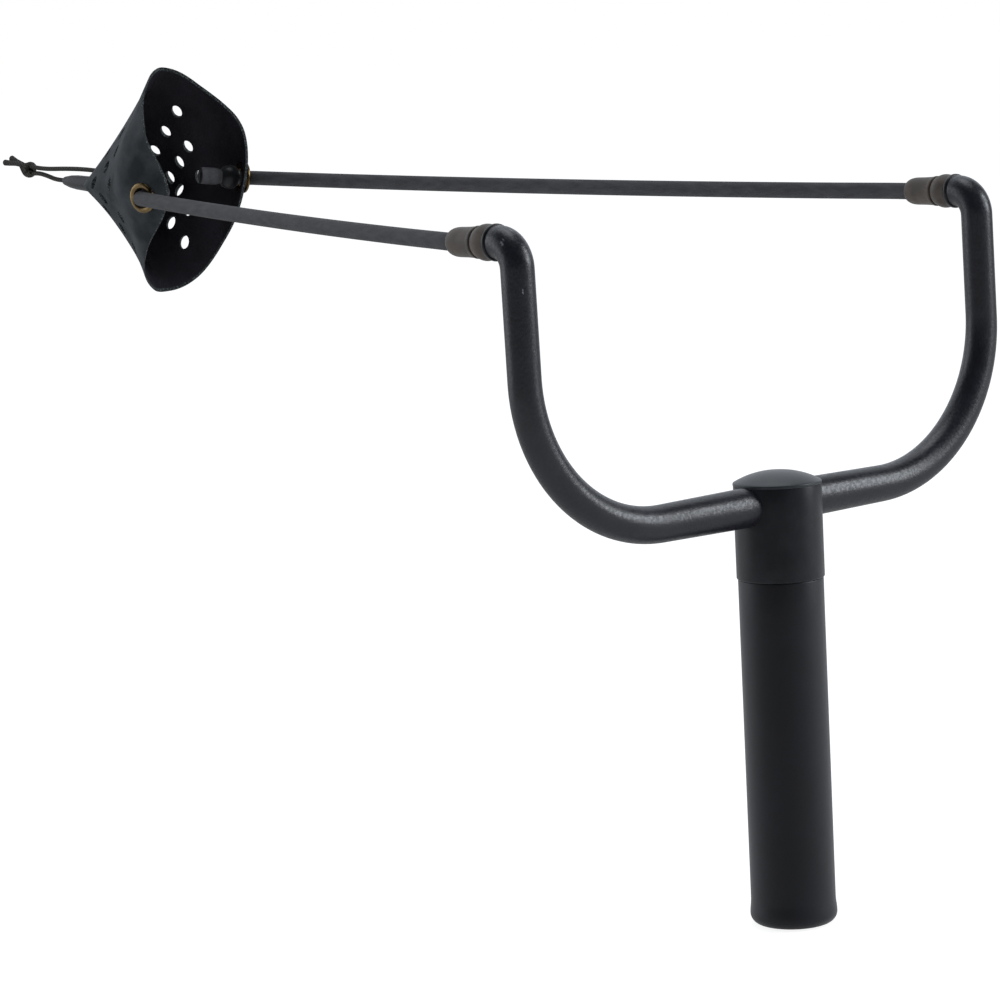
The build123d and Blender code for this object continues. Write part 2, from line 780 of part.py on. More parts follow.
def all_pieces():
    """Every piece by its name."""
    pieces = {
        "frame_tube": frame_tube(),
        "handle_core": handle_core(),
        "grip_sleeve": grip_sleeve(),
        "handle_head": handle_head(),
        "head_cap": head_cap(),
        "saddle_washer": saddle_washer(),
        "clamp_screw": clamp_screw(),
        "screw_insert": screw_insert(),
        "pouch_sheet": pouch_sheet(),
        "pull_cord": pouch_frame.location * pull_cord(),
        "cord_bight": pouch_frame.location * cord_bight(),
        "pull_knot": pouch_frame.location * pull_knot(),
        "cord_sleeve": pouch_frame.location * cord_sleeve(),
    }
    for name, side in (("right", 1), ("left", -1)):
        tip = tip_frame(side).location
        eye = eyelet_frame(side).location
        pieces[f"{name}_end_bush"] = tip * end_bush()
        pieces[f"{name}_swivel"] = tip * swivel()
        pieces[f"{name}_retaining_clip"] = tip * retaining_clip()
        pieces[f"{name}_elastic_sleeve"] = tip * elastic_sleeve()
        pieces[f"{name}_elastic"] = elastic(side)
        pieces[f"{name}_eyelet"] = eye * eyelet()
        pieces[f"{name}_eyelet_washer"] = eye * eyelet_washer()
        pieces[f"{name}_stopper_bead"] = eye * stopper_bead()
        pieces[f"{name}_tail_plug"] = eye * tail_plug()
    return pieces


os.makedirs("parts", exist_ok=True)
for name, solid in all_pieces().items():
    export_step(solid, f"parts/{name}.step")
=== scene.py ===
import bpy
import bmesh
import math
from mathutils import Matrix, Vector


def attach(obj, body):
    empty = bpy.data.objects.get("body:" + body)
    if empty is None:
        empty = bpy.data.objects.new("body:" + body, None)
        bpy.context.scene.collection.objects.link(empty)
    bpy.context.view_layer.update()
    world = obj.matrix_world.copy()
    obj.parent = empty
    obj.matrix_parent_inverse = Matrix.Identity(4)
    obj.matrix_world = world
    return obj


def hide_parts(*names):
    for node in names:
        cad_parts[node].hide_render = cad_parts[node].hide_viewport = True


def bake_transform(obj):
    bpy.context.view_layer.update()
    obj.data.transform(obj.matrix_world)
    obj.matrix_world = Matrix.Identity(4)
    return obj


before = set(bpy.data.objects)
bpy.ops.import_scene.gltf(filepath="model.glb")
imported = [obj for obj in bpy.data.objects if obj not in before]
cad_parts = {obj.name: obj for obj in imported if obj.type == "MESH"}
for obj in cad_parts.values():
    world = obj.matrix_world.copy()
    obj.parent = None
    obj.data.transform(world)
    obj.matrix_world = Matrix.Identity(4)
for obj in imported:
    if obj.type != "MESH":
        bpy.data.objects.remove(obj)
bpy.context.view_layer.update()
mm = 0.001  # sizes are written in millimetres, the scene is in metres

# Sizes that several pieces share
tube = {
    "diameter": 10.0, "foot": 11.5, "middle": 12.3, "reach": 14.0, "wall": 1.2,
    "armX": 94.2, "crossZ": 131.95, "tipZ": 220.25, "end": 8.2,
}
elasticDiameter = 5.4
eyelet = {
    "depth": 73.0, "height": 1.3, "twist": 2.0, "yaw": 17.0, "pitch": -7.0, "diameter": 11.6, "bore": 7.2,
    "tails": {1: 11.4, -1: 16.5},
}
sheetThickness = 1.6
cordDiameter = 1.8


# Places: a matrix takes a piece from its own axis to the part's frame, in millimetres

pouchPlace = Matrix.Translation((0, -387.0, 232.95)) @ Matrix.Rotation(math.radians(-3.2), 4, "X")


def tipPlace(side):
    turn = Matrix(((1, 0, 0), (0, 0, -1), (0, 1, 0))).to_4x4()  # Z runs out of the tube's end
    return Matrix.Translation((side * tube["armX"], -tube["end"], tube["tipZ"])) @ turn


def eyeletPlace(side):
    yaw, pitch = math.radians(eyelet["yaw"]), math.radians(eyelet["pitch"])
    out = Vector((side * math.cos(yaw) * math.cos(pitch), math.sin(yaw) * math.cos(pitch), math.sin(pitch)))
    # the limp pouch hangs a little twisted between the elastics
    height = eyelet["height"] - side * eyelet["twist"]
    wall = halfWidth(eyelet["depth"], height) - sheetThickness / 2
    place = pouchPlace @ Vector((side * wall, eyelet["depth"], height))
    return Matrix.Translation(place) @ out.to_track_quat("Z", "X").to_matrix().to_4x4()


# ---- camera

cameraView = {
    "azimuth": 142.38, "elevation": 7.85, "roll": -3.73, "lens": 121.0, "place": (690.0, 757.9, 279.2),
}


def addCamera():
    azimuth, elevation, roll = (math.radians(cameraView[key]) for key in ("azimuth", "elevation", "roll"))
    back = Vector((
        math.sin(azimuth) * math.cos(elevation), -math.cos(azimuth) * math.cos(elevation), math.sin(elevation)
    ))
    level = Vector((0, 0, 1)).cross(back).normalized()
    upright = back.cross(level)
    right = level * math.cos(roll) + upright * math.sin(roll)
    up = upright * math.cos(roll) - level * math.sin(roll)
    bpy.ops.object.camera_add()
    camera = bpy.context.object
    camera.matrix_world = Matrix.Translation(Vector(cameraView["place"]) * mm) @ Matrix(
        (right, up, back)
    ).transposed().to_4x4()
    camera.data.lens = cameraView["lens"]
    camera.data.clip_start = 0.01
    bpy.context.scene.camera = camera


addCamera()
print("camera set")


# ---- node helper and colours

def colour(code):
    # sRGB hex to the linear values that a shader takes
    values = [int(code[i:i + 2], 16) / 255 for i in (1, 3, 5)]
    return [v / 12.92 if v <= 0.04045 else ((v + 0.055) / 1.055) ** 2.4 for v in values] + [1.0]


def addNode(tree, kind, values=None, links=None, **settings):
    node = tree.nodes.new(kind)
    for name, value in settings.items():
        setattr(node, name, value)
    for name, value in (values or {}).items():
        node.inputs[name].default_value = value
    for name, source in (links or {}).items():
        tree.links.new(source, node.inputs[name])
    return node


def maths(tree, operation, one, two):
    # two sockets through one math node
    return addNode(tree, "ShaderNodeMath", links={0: one, 1: two}, operation=operation).outputs["Value"]


def ramp(tree, source, stops):
    node = addNode(tree, "ShaderNodeValToRGB", links={"Fac": source})
    elements = node.color_ramp.elements
    for _ in range(len(stops) - 2):
        elements.new(0.5)
    for element, (place, shade) in zip(elements, stops):
        element.position = place
        element.color = shade if isinstance(shade, list) else [shade] * 3 + [1.0]
    return node.outputs["Color"]


def startMaterial(name):
    material = bpy.data.materials.new(name)
    material.use_nodes = True
    tree = material.node_tree
    shader = tree.nodes["Principled BSDF"]
    return material, tree, shader


def grain(tree, size, detail=2.0, stretch=None):
    # noise whose blotches are about `size` millimetres wide, in object space
    place = addNode(tree, "ShaderNodeTexCoord").outputs["Object"]
    if stretch:
        place = addNode(tree, "ShaderNodeMapping", {"Scale": stretch}, {"Vector": place}).outputs["Vector"]
    return addNode(
        tree, "ShaderNodeTexNoise", {"Scale": 1 / (size * mm), "Detail": detail}, {"Vector": place}
    ).outputs["Fac"]


def bump(tree, shader, layers):
    # layers: (height source, depth in millimetres)
    last = None
    for source, depth in layers:
        links = {"Height": source}
        if last:
            links["Normal"] = last
        values = {"Strength": 1.0, "Distance": depth * mm}
        last = addNode(tree, "ShaderNodeBump", values, links).outputs["Normal"]
    tree.links.new(last, shader.inputs["Normal"])


# ---- materials

# small chips rubbed through the coat near the right tip: (place, half length, half width)
coatChips = (
    ((98.5, -1.0, 220.3), 1.5, 0.45), ((98.0, -0.9, 221.6), 0.9, 0.35), ((94.2, -1.6, 223.9), 1.5, 0.5),
    ((96.3, 4.5, 206.4), 1.4, 0.35),
)


def chips(tree):
    # mask of the chips: a squashed ball round each place, its edge broken up by noise
    place = addNode(tree, "ShaderNodeTexCoord").outputs["Object"]
    ragged = grain(tree, 0.5, 3.0)
    mask = None
    for centre, long, wide in coatChips:
        middle = [value * mm for value in centre]
        squash = [1 / (size * mm) for size in (wide, long, long)]
        far = place
        for operation, values in (("SUBTRACT", middle), ("MULTIPLY", squash)):
            far = addNode(
                tree, "ShaderNodeVectorMath", {1: values}, {0: far}, operation=operation
            ).outputs["Vector"]
        far = addNode(tree, "ShaderNodeVectorMath", links={0: far}, operation="LENGTH").outputs["Value"]
        near = addNode(
            tree, "ShaderNodeMapRange", {"From Min": 1.4, "From Max": 0.2, "To Min": 0.0, "To Max": 1.0},
            {"Value": far},
        ).outputs["Result"]
        mask = maths(tree, "MAXIMUM", mask, near) if mask else near
    return ramp(tree, maths(tree, "MULTIPLY", mask, ragged), [(0.3, 0.0), (0.42, 0.75)])


def powderCoat():
    # satin black polyester powder coat on steel tube: fine orange peel that glints in the highlight
    material, tree, shader = startMaterial("powderCoatSatinBlack")
    peel = grain(tree, 0.8, 2.0)
    shade = ramp(tree, grain(tree, 9.0), [(0.35, colour("#14141b")), (0.7, colour("#1b1c24"))])
    worn = addNode(
        tree, "ShaderNodeMix", {"B": colour("#6f6e75")}, {"Factor": chips(tree), "A": shade}, data_type="RGBA"
    )
    tree.links.new(worn.outputs["Result"], shader.inputs["Base Color"])
    rough = ramp(tree, peel, [(0.35, 0.3), (0.65, 0.44)])
    tree.links.new(rough, shader.inputs["Roughness"])
    shader.inputs["Specular IOR Level"].default_value = 0.6
    bump(tree, shader, [(peel, 0.06), (grain(tree, 2.6), 0.04)])
    return material


def mouldedRubber():
    # smooth moulded rubber grip: dead matt skin, slightly greasy where it is handled
    material, tree, shader = startMaterial("mouldedRubberBlack")
    broad = grain(tree, 16.0, 3.0)
    tree.links.new(
        ramp(tree, broad, [(0.35, colour("#0b0b10")), (0.7, colour("#111118"))]), shader.inputs["Base Color"]
    )
    tree.links.new(ramp(tree, broad, [(0.3, 0.4), (0.7, 0.48)]), shader.inputs["Roughness"])
    shader.inputs["Specular IOR Level"].default_value = 0.3
    shader.inputs["Sheen Weight"].default_value = 0.2
    bump(tree, shader, [(grain(tree, 0.35), 0.015), (grain(tree, 6.0), 0.05)])
    return material


def mouldedNylon(name, dark, light, roughness, level=0.4, size=0.3, depth=0.02):
    # injection-moulded nylon: faint spark-eroded texture, a little cloudy in colour
    material, tree, shader = startMaterial(name)
    tree.links.new(
        ramp(tree, grain(tree, 5.0, 3.0), [(0.35, colour(dark)), (0.68, colour(light))]),
        shader.inputs["Base Color"],
    )
    shader.inputs["Roughness"].default_value = roughness
    shader.inputs["Specular IOR Level"].default_value = level
    shader.inputs["Sheen Weight"].default_value = 0.12
    bump(tree, shader, [(grain(tree, size), depth)])
    return material


def latex():
    # dipped latex tube: matt charcoal with a dusting of talc in fine streaks along the tube
    material, tree, shader = startMaterial("latexTubeCharcoal")
    streak = grain(tree, 1.6, 3.0, (1.0, 0.12, 1.0))
    tree.links.new(
        ramp(tree, streak, [(0.35, colour("#3a393b")), (0.7, colour("#464547"))]), shader.inputs["Base Color"]
    )
    shader.inputs["Roughness"].default_value = 0.72
    shader.inputs["Specular IOR Level"].default_value = 0.3
    bump(tree, shader, [(grain(tree, 0.4), 0.02)])
    return material


def agedBrass():
    # stamped brass gone brown in the air, a little brighter where it is rubbed
    material, tree, shader = startMaterial("brassAged")
    tarnish = grain(tree, 2.4, 3.0)
    tree.links.new(
        ramp(tree, tarnish, [(0.3, colour("#6f5c40")), (0.7, colour("#917c58"))]), shader.inputs["Base Color"]
    )
    tree.links.new(ramp(tree, tarnish, [(0.3, 0.38), (0.7, 0.28)]), shader.inputs["Roughness"])
    shader.inputs["Metallic"].default_value = 1.0
    bump(tree, shader, [(grain(tree, 0.8), 0.006)])
    return material


def turnedSteel():
    # plated steel screw and clips: fine turning marks
    material, tree, shader = startMaterial("steelZincPlated")
    tree.links.new(
        ramp(tree, grain(tree, 0.6), [(0.3, colour("#8d8f92")), (0.7, colour("#a9abae"))]),
        shader.inputs["Base Color"],
    )
    shader.inputs["Metallic"].default_value = 1.0
    shader.inputs["Roughness"].default_value = 0.35
    return material


def leatherSkin(name, dark, light, roughness, level, depth):
    # polyurethane-coated synthetic leather: pebbled grain about 0.7 millimetres wide
    material, tree, shader = startMaterial(name)
    place = addNode(tree, "ShaderNodeTexCoord").outputs["Object"]
    pebble = addNode(
        tree, "ShaderNodeTexVoronoi", {"Scale": 1 / (0.7 * mm), "Randomness": 1.0}, {"Vector": place}
    ).outputs["Distance"]
    broad = grain(tree, 11.0, 4.0)
    tree.links.new(
        ramp(tree, broad, [(0.32, colour(dark)), (0.7, colour(light))]), shader.inputs["Base Color"]
    )
    shader.inputs["Roughness"].default_value = roughness
    shader.inputs["Specular IOR Level"].default_value = level
    bump(tree, shader, [(pebble, depth), (grain(tree, 2.5, 3.0), depth)])
    return material


def cutEdge():
    # the sheet's raw cut edge: a black core with a few paler grey specks, partly fibres and partly painted
    # glints of light on the edge
    material, tree, shader = startMaterial("cutEdgeFibresAndGlints")
    fibresAndGlints = grain(tree, 0.5, 4.0)
    tree.links.new(
        ramp(tree, fibresAndGlints, [(0.5, colour("#15181a")), (0.74, colour("#5d6765"))]), shader.inputs["Base Color"]
    )
    shader.inputs["Roughness"].default_value = 0.9
    bump(tree, shader, [(fibresAndGlints, 0.08)])
    return material


def braid():
    # braided polyester cord, dark olive: a diamond of strands half a millimetre wide
    material, tree, shader = startMaterial("braidedCordOlive")
    place = addNode(tree, "ShaderNodeTexCoord").outputs["Object"]
    waves = []
    for lean in (1, -1):
        turn = addNode(
            tree, "ShaderNodeMapping", {"Rotation": (lean * 0.8, 0.0, lean * 0.8)}, {"Vector": place}
        ).outputs["Vector"]
        waves.append(addNode(
            tree, "ShaderNodeTexWave", {"Scale": 0.32 / (0.9 * mm), "Distortion": 0.6}, {"Vector": turn},
            bands_direction="Y",
        ).outputs["Fac"])
    strands = maths(tree, "MULTIPLY", *waves)
    tree.links.new(
        ramp(tree, strands, [(0.0, colour("#1b1a16")), (0.7, colour("#3d3a30"))]), shader.inputs["Base Color"]
    )
    shader.inputs["Roughness"].default_value = 0.85
    bump(tree, shader, [(strands, 0.12)])
    return material


coat = powderCoat()
gripRubber = mouldedRubber()
headNylon = mouldedNylon("mouldedNylonBlack", "#0d0e13", "#14171b", 0.38, 0.28)
# the cap's nylon is coloured lighter than the head's: painted top light on the dome
capNylonPaintedToplight = mouldedNylon("mouldedNylonCapPaintedToplight", "#1c2123", "#24292c", 0.42)
bushNylon = mouldedNylon("acetalBlack", "#0c0c0e", "#121214", 0.4)
swivelNylon = mouldedNylon("mouldedNylonOlive", "#3d352e", "#50463c", 0.58, 0.35, 0.5, 0.03)
beadPlastic = mouldedNylon("polishedStyreneBlack", "#0d0d0f", "#141417", 0.4, 0.4)
cordTubeRubber = mouldedNylon("siliconeTubeBlack", "#101114", "#18191d", 0.5, 0.3)
rubberTube = latex()
brass = agedBrass()
steel = turnedSteel()
pouchOutside = leatherSkin("coatedLeatherOutside", "#25282a", "#3f4345", 0.62, 0.07, 0.05)
pouchInside = leatherSkin("coatedLeatherInside", "#1b191e", "#28252b", 0.6, 0.25, 0.04)
pouchEdge = cutEdge()
cordBraid = braid()
print("materials made")


# ---- modelling helpers

def selectOnly(*pieces):
    # the first piece becomes the active one
    bpy.ops.object.select_all(action="DESELECT")
    for piece in pieces:
        piece.select_set(True)
    if pieces:
        bpy.context.view_layer.objects.active = pieces[0]


def join(pieces):
    selectOnly(*pieces)
    bpy.ops.object.join()
    return bpy.context.object


def finishPiece(piece, name, materials, body, nodes, smooth, place=None):
    # without materials a piece keeps its own; without a body it is left unattached
    piece.name = name
    piece.data.name = name
    if materials:
        piece.data.materials.clear()
        for material in materials:
            piece.data.materials.append(material)
    if place:
        scaled = place.copy()
        scaled.translation *= mm
        piece.data.transform(scaled)
    selectOnly(piece)
    bpy.ops.object.shade_smooth_by_angle(angle=math.radians(smooth))
    if body:
        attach(piece, body)
    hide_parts(*nodes)
    return piece


def turnPiece(outline, steps=96, closed=True):
    # drags one point along the outline of (radius, height) and spins it round the Z axis
    selectOnly()
    bpy.ops.mesh.primitive_plane_add(size=mm, location=(outline[0][0] * mm, 0, outline[0][1] * mm))
    bpy.ops.object.transform_apply(location=True)
    bpy.ops.object.mode_set(mode="EDIT")
    bpy.ops.mesh.select_all(action="SELECT")
    bpy.ops.mesh.merge(type="CENTER")
    for (r0, z0), (r1, z1) in zip(outline, outline[1:] + outline[:1] * closed):
        step = ((r1 - r0) * mm, 0, (z1 - z0) * mm)
        bpy.ops.mesh.extrude_vertices_move(TRANSFORM_OT_translate={"value": step})
    bpy.ops.mesh.select_all(action="SELECT")
    bpy.ops.mesh.spin(steps=steps, angle=2 * math.pi, center=(0, 0, 0), axis=(0, 0, 1))
    bpy.ops.mesh.select_all(action="SELECT")
    bpy.ops.mesh.remove_doubles(threshold=0.002 * mm)
    bpy.ops.mesh.dissolve_degenerate(threshold=0.001 * mm)
    bpy.ops.mesh.select_all(action="SELECT")
    bpy.ops.mesh.normals_make_consistent(inside=False)
    bpy.ops.object.mode_set(mode="OBJECT")
    return bpy.context.object


def arc(centre, radius, start, end, steps=6):
    # points of an arc, angles in degrees from the outward radius
    angles = [math.radians(start + (end - start) * step / steps) for step in range(steps + 1)]
    return [(centre[0] + radius * math.cos(a), centre[1] + radius * math.sin(a)) for a in angles]


def softCurve(name, points, diameter, place=Matrix(), widths=None):
    # a round cord or tube along one NURBS spline; widths are shares of its diameter
    data = bpy.data.curves.new(name, "CURVE")
    data.dimensions = "3D"
    data.resolution_u = 16
    data.bevel_depth = diameter / 2 * mm
    data.bevel_resolution = 8
    data.use_fill_caps = True
    spline = data.splines.new("NURBS")
    spline.points.add(len(points) - 1)
    for node, point, width in zip(spline.points, points, widths or [1.0] * len(points)):
        node.co = (*(place @ Vector(point) * mm), 1.0)
        node.radius = width
    spline.order_u = 3
    spline.use_endpoint_u = True
    curve = bpy.data.objects.new(name, data)
    bpy.context.scene.collection.objects.link(curve)
    return curve


def toMesh(curve):
    selectOnly(curve)
    bpy.ops.object.convert(target="MESH")
    piece = bpy.context.object
    bpy.ops.object.mode_set(mode="EDIT")
    bpy.ops.mesh.select_all(action="SELECT")
    bpy.ops.mesh.remove_doubles(threshold=0.01 * mm)
    bpy.ops.mesh.normals_make_consistent(inside=False)
    bpy.ops.object.mode_set(mode="OBJECT")
    return piece


# ---- pull cord

pullCord = {
    "upper": ((8.5, 4.3), (1.5, 4.45), (-9.0, 4.4), (-21.0, 3.95), (-32.0, 3.3), (-40.5, 3.3), (-46.0, 3.75)),
    "turn": ((-49.2, 3.45), (-49.2, 0.95)),
    "lower": ((-46.0, 0.75), (-40.0, 1.3), (-33.5, 0.6), (-25.0, -0.95), (1.0, -0.15), (8.5, -0.1)),
    "knot": (-47.6, 2.2),
}


def cordRoute():
    return [(0.0, y, z) for key in ("upper", "turn", "lower") for y, z in pullCord[key]]


cord = softCurve("pull_cord_braid", cordRoute(), cordDiameter, pouchPlace)
cord.data.materials.append(cordBraid)
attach(cord, "pouch")
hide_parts("pull_cord")


# The overhand knot: both strands take one wrap round each other, then their tags stand out behind
knotWraps = (
    ((0.9, 2.6, -0.9), (1.5, 1.2, -1.9), (1.9, -0.4, 0.2), (0.6, -1.6, 2.1), (-1.6, -0.6, 1.7),
     (-2.1, 0.9, -0.4), (-0.6, 1.0, -2.3), (1.3, -0.6, -1.9), (1.5, -2.4, 0.4), (0.9, -4.4, 2.0),
     (0.9, -8.6, 2.3), (1.0, -12.8, 2.2), (1.2, -16.6, 2.3)),
    ((-0.8, 3.0, 0.8), (-1.6, 1.6, 1.9), (0.2, 0.6, 2.6), (1.9, 0.8, 1.0), (1.5, 0.4, -1.4),
     (-0.3, -0.6, -2.5), (-1.8, -1.4, -1.2), (-1.4, -2.6, 0.6), (-0.9, -4.4, 1.4), (-0.8, -8.0, 2.3),
     (-0.9, -11.6, 2.9), (-1.1, -15.2, 3.9)),
)


def knot():
    # the strands are drawn a little loose, and fray towards their cut ends
    loose, fray = 1.1, [1.1, 1.25]
    back, up = pullCord["knot"]
    strands = []
    for wrap in knotWraps:
        points = [(x, back + y, up + z) for x, y, z in wrap]
        widths = [1.0] * (len(points) - 2) + fray
        strands.append(toMesh(softCurve("knotStrand", points, cordDiameter * loose, pouchPlace, widths)))
    return finishPiece(join(strands), "pull_knot_wraps", [cordBraid], "pouch", ["pull_knot"], 60)


cordKnot = knot()


# The soft tube that guards the lower strand at the pouch
guard = {
    "back": -19.5, "front": 2.5, "freeEnd": 1.75, "belly": ((2.5, 5.0), (2.85, 9.5)), "pouchEnd": 3.1,
    "bore": 1.02, "round": 0.6, "droop": 0.05,
}


def cordGuard():
    back, bore, edge, droop = (guard[key] for key in ("back", "bore", "round", "droop"))
    outline = [(bore, back)] + arc((guard["freeEnd"] - edge, back + edge), edge, -90, 0)
    outline += [(radius, back + ahead) for radius, ahead in guard["belly"]]
    outline += [(guard["pouchEnd"], guard["front"]), (bore, guard["front"])]
    piece = turnPiece(outline, 48)
    # it follows the lower strand and sags a little towards the pouch
    (lowY, lowZ), (highY, highZ) = pullCord["lower"][3:5]
    slope = (highZ - lowZ) / (highY - lowY) - droop
    lift = lowZ - slope * lowY - droop * (lowY - back)
    along = Vector((0, 1, slope)).to_track_quat("Z", "X").to_matrix().to_4x4()
    place = pouchPlace @ Matrix.Translation((0, 0, lift)) @ along
    return finishPiece(
        piece, "cord_guard_tube", [cordTubeRubber], "pouch", ["cord_sleeve"], 35, place
    )


cordTube = cordGuard()
print("pull cord made")


# ---- frame tube

frameBends = {
    "armRadius": 48.4, "elbowRadius": 7.6, "straight": 0.6, "sides": 64, "steps": 36, "elbowSteps": 18,
    "crossStations": (30.0, tube["reach"], 7.0, 0.0),
}


def frameTube():
    # one half is drawn out from the tip: elbow, arm, a bend that thickens, the cross tube; then mirrored
    armX, tipZ, crossZ = tube["armX"], tube["tipZ"], tube["crossZ"]
    big, small, steps = frameBends["armRadius"], frameBends["elbowRadius"], frameBends["steps"]
    radius = tube["diameter"] / 2
    selectOnly()
    bpy.ops.mesh.primitive_circle_add(
        vertices=frameBends["sides"], radius=radius * mm, rotation=(math.pi / 2, 0, 0),
        location=(armX * mm, -tube["end"] * mm, tipZ * mm),
    )
    bpy.ops.object.transform_apply(location=True, rotation=True)
    bpy.ops.object.mode_set(mode="EDIT")
    bpy.ops.mesh.select_all(action="SELECT")

    def pull(x, y, z):
        bpy.ops.mesh.extrude_edges_move(TRANSFORM_OT_translate={"value": (x * mm, y * mm, z * mm)})

    def swell(share, centre):
        middle = [value * mm for value in centre]
        bpy.ops.transform.resize(value=(share, share, share), center_override=middle)

    pull(0, frameBends["straight"], 0)
    bpy.ops.mesh.spin(
        steps=frameBends["elbowSteps"], angle=math.pi / 2, axis=(1, 0, 0),
        center=(armX * mm, -small * mm, (tipZ - small) * mm),
    )
    straight = (tipZ - small) - (crossZ + big)
    for _ in range(4):
        pull(0, 0, -straight / 4)
    hub = (armX - big, 0, crossZ + big)
    last = radius
    for step in range(1, steps + 1):
        bpy.ops.mesh.spin(
            steps=1, angle=math.pi / 2 / steps, center=[value * mm for value in hub], axis=(0, -1, 0)
        )
        turn = math.pi / 2 * step / steps
        now = radius + (tube["foot"] / 2 - radius) * step / steps
        swell(now / last, (hub[0] + big * math.cos(turn), 0, hub[2] - big * math.sin(turn)))
        last = now
    x = armX - big
    for place in frameBends["crossStations"]:
        share = max(0.0, place - tube["reach"]) / (armX - big - tube["reach"])
        now = (tube["middle"] + (tube["foot"] - tube["middle"]) * share) / 2
        pull(place - x, 0, 0)
        swell(now / last, (place, 0, crossZ))
        x, last = place, now
    bpy.ops.object.mode_set(mode="OBJECT")
    piece = bpy.context.object
    mirror = piece.modifiers.new("mirror", "MIRROR")
    mirror.use_axis = (True, False, False)
    mirror.merge_threshold = 0.01 * mm
    bpy.ops.object.modifier_apply(modifier="mirror")
    bpy.ops.object.mode_set(mode="EDIT")
    bpy.ops.mesh.select_all(action="SELECT")
    bpy.ops.mesh.remove_doubles(threshold=0.01 * mm)
    # the two open ends are closed and get the ring of the tube's wall
    bpy.ops.mesh.select_non_manifold()
    bpy.ops.mesh.edge_face_add()
    bpy.ops.mesh.inset(thickness=tube["wall"] * mm)
    bpy.ops.mesh.select_all(action="SELECT")
    bpy.ops.mesh.normals_make_consistent(inside=False)
    bpy.ops.object.mode_set(mode="OBJECT")
    return finishPiece(piece, "frame_tube_coated", [coat], "frame", ["frame_tube"], 30)


frameTube()
print("frame tube made")


# ---- handle

handle = {
    "radius": 13.2, "length": 108.6, "flare": 0.35, "footHeight": 8.0, "footCorner": 3.3, "footRim": 1.5,
    "lip": 0.5, "core": 10.0, "headRadius": 13.6, "headTop": 137.6, "headEdge": 0.15, "headWall": 1.5,
    "gap": 0.02, "offset": -1.6, "lean": -1.1,
}
# the clamped handle sits a hair to the left of the middle and a degree out of square
handlePlace = (
    Matrix.Translation((handle["offset"], 0, tube["crossZ"]))
    @ Matrix.Rotation(math.radians(handle["lean"]), 4, "Y")
    @ Matrix.Translation((0, 0, -tube["crossZ"]))
)


def gripSleeve():
    radius, length, lip, corner = (handle[key] for key in ("radius", "length", "lip", "footCorner"))
    foot, rise = radius + handle["flare"], handle["footHeight"] - corner
    outline = [(0.0, 0.0), (foot - corner - handle["footRim"], 0.0)]
    outline += arc((foot - corner, corner), corner, -90, 0, 10)
    for step in range(1, 9):
        share = step / 8
        outline.append((foot - handle["flare"] * (3 * share**2 - 2 * share**3), corner + rise * share))
    outline += [(radius, length * share) for share in (0.3, 0.5, 0.7, 0.9)]
    outline += arc((radius - lip, length - lip), lip, 0, 90, 4) + [(handle["core"], length), (0.0, length)]
    piece = turnPiece(outline, 128, closed=False)
    return finishPiece(
        piece, "grip_rubber_sleeve", [gripRubber], "frame", ["grip_sleeve"], 40, handlePlace
    )


def handleHead():
    radius, top, edge, wall = (handle[key] for key in ("headRadius", "headTop", "headEdge", "headWall"))
    bottom, lip = handle["length"] + handle["gap"], handle["lip"]
    outline = [(0.0, bottom), (radius - wall, bottom)] + arc((radius - lip, bottom + lip), lip, -90, 0, 4)
    outline += [(radius, bottom + (top - bottom) * share) for share in (0.25, 0.5, 0.75)]
    outline += arc((radius - edge, top - edge), edge, 0, 90, 3) + [(radius - wall, top), (0.0, top)]
    piece = turnPiece(outline, 128, closed=False)
    return finishPiece(
        piece, "handle_head_nylon", [headNylon], "frame", ["handle_head"], 35, handlePlace
    )


cap = {
    "overhang": 0.1, "gap": 0.03, "foot": 0.2, "edge": 0.7, "round": 0.45, "roundTo": 48, "dome": 3.7,
    "fullness": 2.15,
}


def headCap():
    radius, top = handle["headRadius"] + cap["overhang"], handle["headTop"]
    bottom, foot, edge = top + cap["gap"], cap["foot"], cap["round"]
    outline = [(0.0, bottom), (radius - foot - 0.15, bottom)]
    outline += arc((radius - foot, top + foot), foot, -80, 0, 3)
    outline += arc((radius - edge, top + cap["edge"] - 0.1), edge, 0, cap["roundTo"], 6)
    start, low = outline[-1]
    rise = top + cap["edge"] + cap["dome"] - low
    for step in range(1, 21):
        across = 1 - step / 20
        outline.append((start * across, low + rise * (1 - across ** cap["fullness"])))
    piece = turnPiece(outline, 128, closed=False)
    # the cap's material is lighter than the head's, as painted top light
    return finishPiece(
        piece, "head_cap_dome", [capNylonPaintedToplight], "frame", ["head_cap"], 40, handlePlace
    )


gripSleeve()
handleHead()
headCap()
print("handle made")


# ---- tube ends: bush, swivel and sleeve, on the axis of the tube's end

ends = ((1, "right"), (-1, "left"))


def twins(makePiece, name, materials, body, node, smooth, placeOf):
    # models the piece once on its own axis; the left one is a copy with its own mesh
    first = makePiece()
    second = first.copy()
    second.data = first.data.copy()
    bpy.context.scene.collection.objects.link(second)
    for piece, (side, end) in zip((first, second), ends):
        nodes, place = [f"{end}_{node}"], placeOf(side)
        finishPiece(piece, f"{end}_{name}", materials, body.format(end), nodes, smooth, place)


bush = {"bore": 3.0, "radius": 5.5, "thick": 1.4, "round": 0.5}


def endBush():
    bore, thick, edge = bush["bore"], bush["thick"], bush["round"]
    flat = bush["radius"] - edge
    outline = [(bore, 0.0), (flat, 0.0)] + arc((flat, edge), edge, -90, 0, 4)
    outline += arc((flat, thick - edge), edge, 0, 90, 4) + [(bore, thick)]
    return turnPiece(outline, 72)


# The bell swells by a sine that leans towards its far end
bell = {
    "back": 1.7, "radius": 4.95, "backRound": 0.4, "length": 5.3, "swell": 0.6, "lean": 1.15, "taper": 0.2,
    "frontRound": 0.35, "groove": 3.9, "grooveEnd": 8.8, "spigot": 1.9, "bore": 1.2, "spigotBack": 0.2,
    "spigotFront": 10.5,
}


